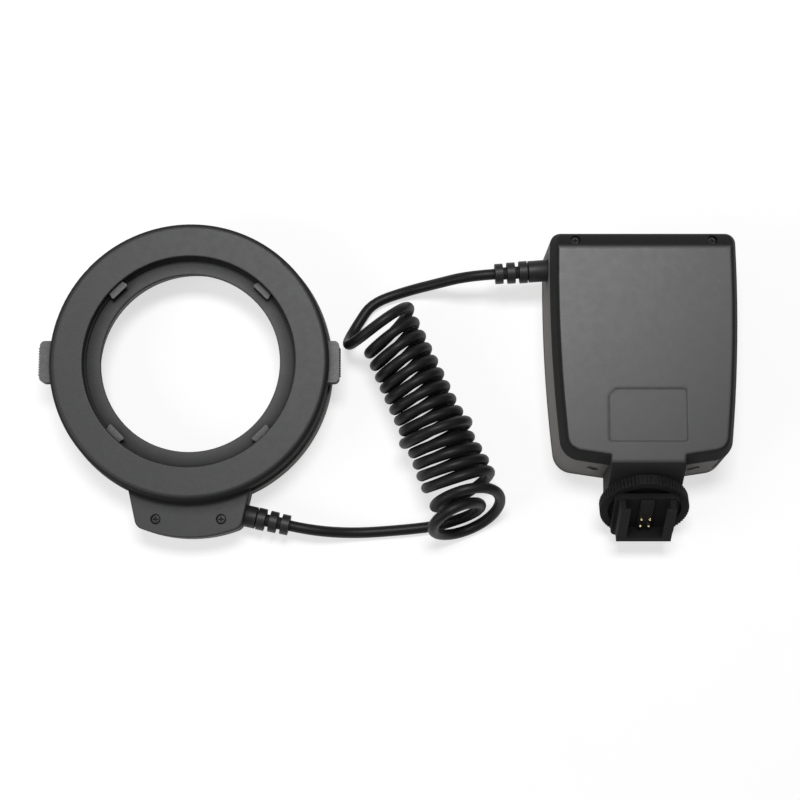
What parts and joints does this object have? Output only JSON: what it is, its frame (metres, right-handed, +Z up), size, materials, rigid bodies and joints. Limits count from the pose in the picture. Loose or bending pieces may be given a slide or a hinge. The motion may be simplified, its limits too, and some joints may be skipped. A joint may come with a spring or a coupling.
{
  "type": "macro ring flash",
  "caption": "Macro ring flash: lamp ring that clips to a lens adapter, curly cord, and a control unit with battery door, keys, lock wheel and shoe foot.",
  "frame": {"origin": "middle of the object's footprint, on the table it lies on face down", "axes": "+X from the ring head to the control unit, +Y away from the shoe foot, +Z up from the table"},
  "size_m": [0.3002, 0.1376, 0.0363],
  "materials": {
    "housing_grey": "fine matt mould texture",
    "housing_black": "fine matt mould texture",
    "lid_black": "fine matt mould texture",
    "clear_window": "clear, polished",
    "board_white": "white solder mask",
    "board_green": "green solder mask",
    "lamp_lens": "clear lens over a pale phosphor",
    "button_grey": "ribbed, satin",
    "latch_grey": "smooth, satin",
    "spring_steel": "drawn wire",
    "screw_black": "black oxide",
    "washer_steel": "rolled",
    "relief_rubber": "moulded, satin",
    "cord_rubber": "extruded, satin",
    "display_green": "dark display glass",
    "switch_black": "moulded",
    "key_rubber": "moulded, matt",
    "tray_black": "moulded",
    "cell_metal": "plain printed sleeve",
    "contact_metal": "nickel plated",
    "foot_black": "dense glass-filled plastic",
    "wheel_black": "ribbed rim, satin",
    "pin_gold": "gold plated"
  },
  "bodies": {
    "flash": {"ring_front_housing": "housing_grey", "ring_back_cover": "housing_black", "front_window": "clear_window", "lamp_board": "board_white", "lamps": "lamp_lens", "left_latch_springs": "spring_steel", "right_latch_springs": "spring_steel", "ring_screws": "screw_black", "ring_strain_relief": "relief_rubber", "ring_cord": "cord_rubber", "coiled_cord": "cord_rubber", "unit_cord": "cord_rubber", "unit_strain_relief": "relief_rubber", "front_shell": "housing_black", "back_shell": "lid_black", "unit_screws": "screw_black", "display_window": "clear_window", "display_module": "display_green", "main_board": "board_green", "key_switches": "switch_black", "battery_tray": "tray_black", "battery_cells": "cell_metal", "battery_contacts": "contact_metal", "foot_stem": "foot_black", "shoe_foot": "foot_black"},
    "left_release": {"left_release_button": "button_grey", "left_latch_frame": "latch_grey"},
    "right_release": {"right_release_button": "button_grey", "right_latch_frame": "latch_grey"},
    "washer": {"wheel_washer": "washer_steel"},
    "wheel": {"lock_wheel": "wheel_black"},
    "door": {"battery_door": "housing_black", "door_contacts": "contact_metal"},
    "power_switch": {"power_slider": "button_grey"},
    "key_up_body": {"key_up": "key_rubber"},
    "key_left_body": {"key_left": "key_rubber"},
    "key_set_body": {"key_set": "key_rubber"},
    "key_right_body": {"key_right": "key_rubber"},
    "key_lamp_body": {"key_lamp": "key_rubber"},
    "contact_pin_1_body": {"contact_pin_1": "pin_gold"},
    "contact_pin_2_body": {"contact_pin_2": "pin_gold"},
    "contact_pin_3_body": {"contact_pin_3": "pin_gold"},
    "contact_pin_4_body": {"contact_pin_4": "pin_gold"}
  },
  "joints": [
    {"name": "left_latch", "type": "slide", "parent": "flash", "child": "left_release", "axis": [1, 0, 0], "range_m": [0, 0.0036], "stiffness_N_per_m": 600, "springref_m": -0.004, "deforming": ["left_latch_springs"]},
    {"name": "right_latch", "type": "slide", "parent": "flash", "child": "right_release", "axis": [-1, 0, 0], "range_m": [0, 0.0036], "stiffness_N_per_m": 600, "springref_m": -0.004, "deforming": ["right_latch_springs"]},
    {"name": "wheel_feed", "type": "slide", "parent": "flash", "child": "washer", "axis": [0, 0.848, -0.5299], "range_m": [0, 0.00075]},
    {"name": "wheel_turn", "type": "hinge", "parent": "washer", "child": "wheel", "pos_m": [0.1092, -0.0537, 0.019], "axis": [0, -0.848, 0.5299], "range_deg": [0, 360]},
    {"name": "battery_door_slide", "type": "slide", "parent": "flash", "child": "door", "axis": [0, -1, 0], "range_m": [0, 0.066]},
    {"name": "power_switch_slide", "type": "slide", "parent": "flash", "child": "power_switch", "axis": [1, 0, 0], "range_m": [0, 0.004]},
    {"name": "key_up_press", "type": "slide", "parent": "flash", "child": "key_up_body", "axis": [0, 0, 1], "range_m": [0, 0.0008], "stiffness_N_per_m": 400, "springref_m": -0.002},
    {"name": "key_left_press", "type": "slide", "parent": "flash", "child": "key_left_body", "axis": [0, 0, 1], "range_m": [0, 0.0008], "stiffness_N_per_m": 400, "springref_m": -0.002},
    {"name": "key_set_press", "type": "slide", "parent": "flash", "child": "key_set_body", "axis": [0, 0, 1], "range_m": [0, 0.0008], "stiffness_N_per_m": 400, "springref_m": -0.002},
    {"name": "key_right_press", "type": "slide", "parent": "flash", "child": "key_right_body", "axis": [0, 0, 1], "range_m": [0, 0.0008], "stiffness_N_per_m": 400, "springref_m": -0.002},
    {"name": "key_lamp_press", "type": "slide", "parent": "flash", "child": "key_lamp_body", "axis": [0, 0, 1], "range_m": [0, 0.0008], "stiffness_N_per_m": 400, "springref_m": -0.002},
    {"name": "contact_pin_1_press", "type": "slide", "parent": "flash", "child": "contact_pin_1_body", "axis": [0, 0.848, -0.5299], "range_m": [0, 0.001], "stiffness_N_per_m": 250, "springref_m": -0.002},
    {"name": "contact_pin_2_press", "type": "slide", "parent": "flash", "child": "contact_pin_2_body", "axis": [0, 0.848, -0.5299], "range_m": [0, 0.001], "stiffness_N_per_m": 250, "springref_m": -0.002},
    {"name": "contact_pin_3_press", "type": "slide", "parent": "flash", "child": "contact_pin_3_body", "axis": [0, 0.848, -0.5299], "range_m": [0, 0.001], "stiffness_N_per_m": 250, "springref_m": -0.002},
    {"name": "contact_pin_4_press", "type": "slide", "parent": "flash", "child": "contact_pin_4_body", "axis": [0, 0.848, -0.5299], "range_m": [0, 0.001], "stiffness_N_per_m": 250, "springref_m": -0.002}
  ],
  "couplings": [
    {"joint": "wheel_feed", "follows": "wheel_turn", "m_per_rad": 0.000119}
  ]
}
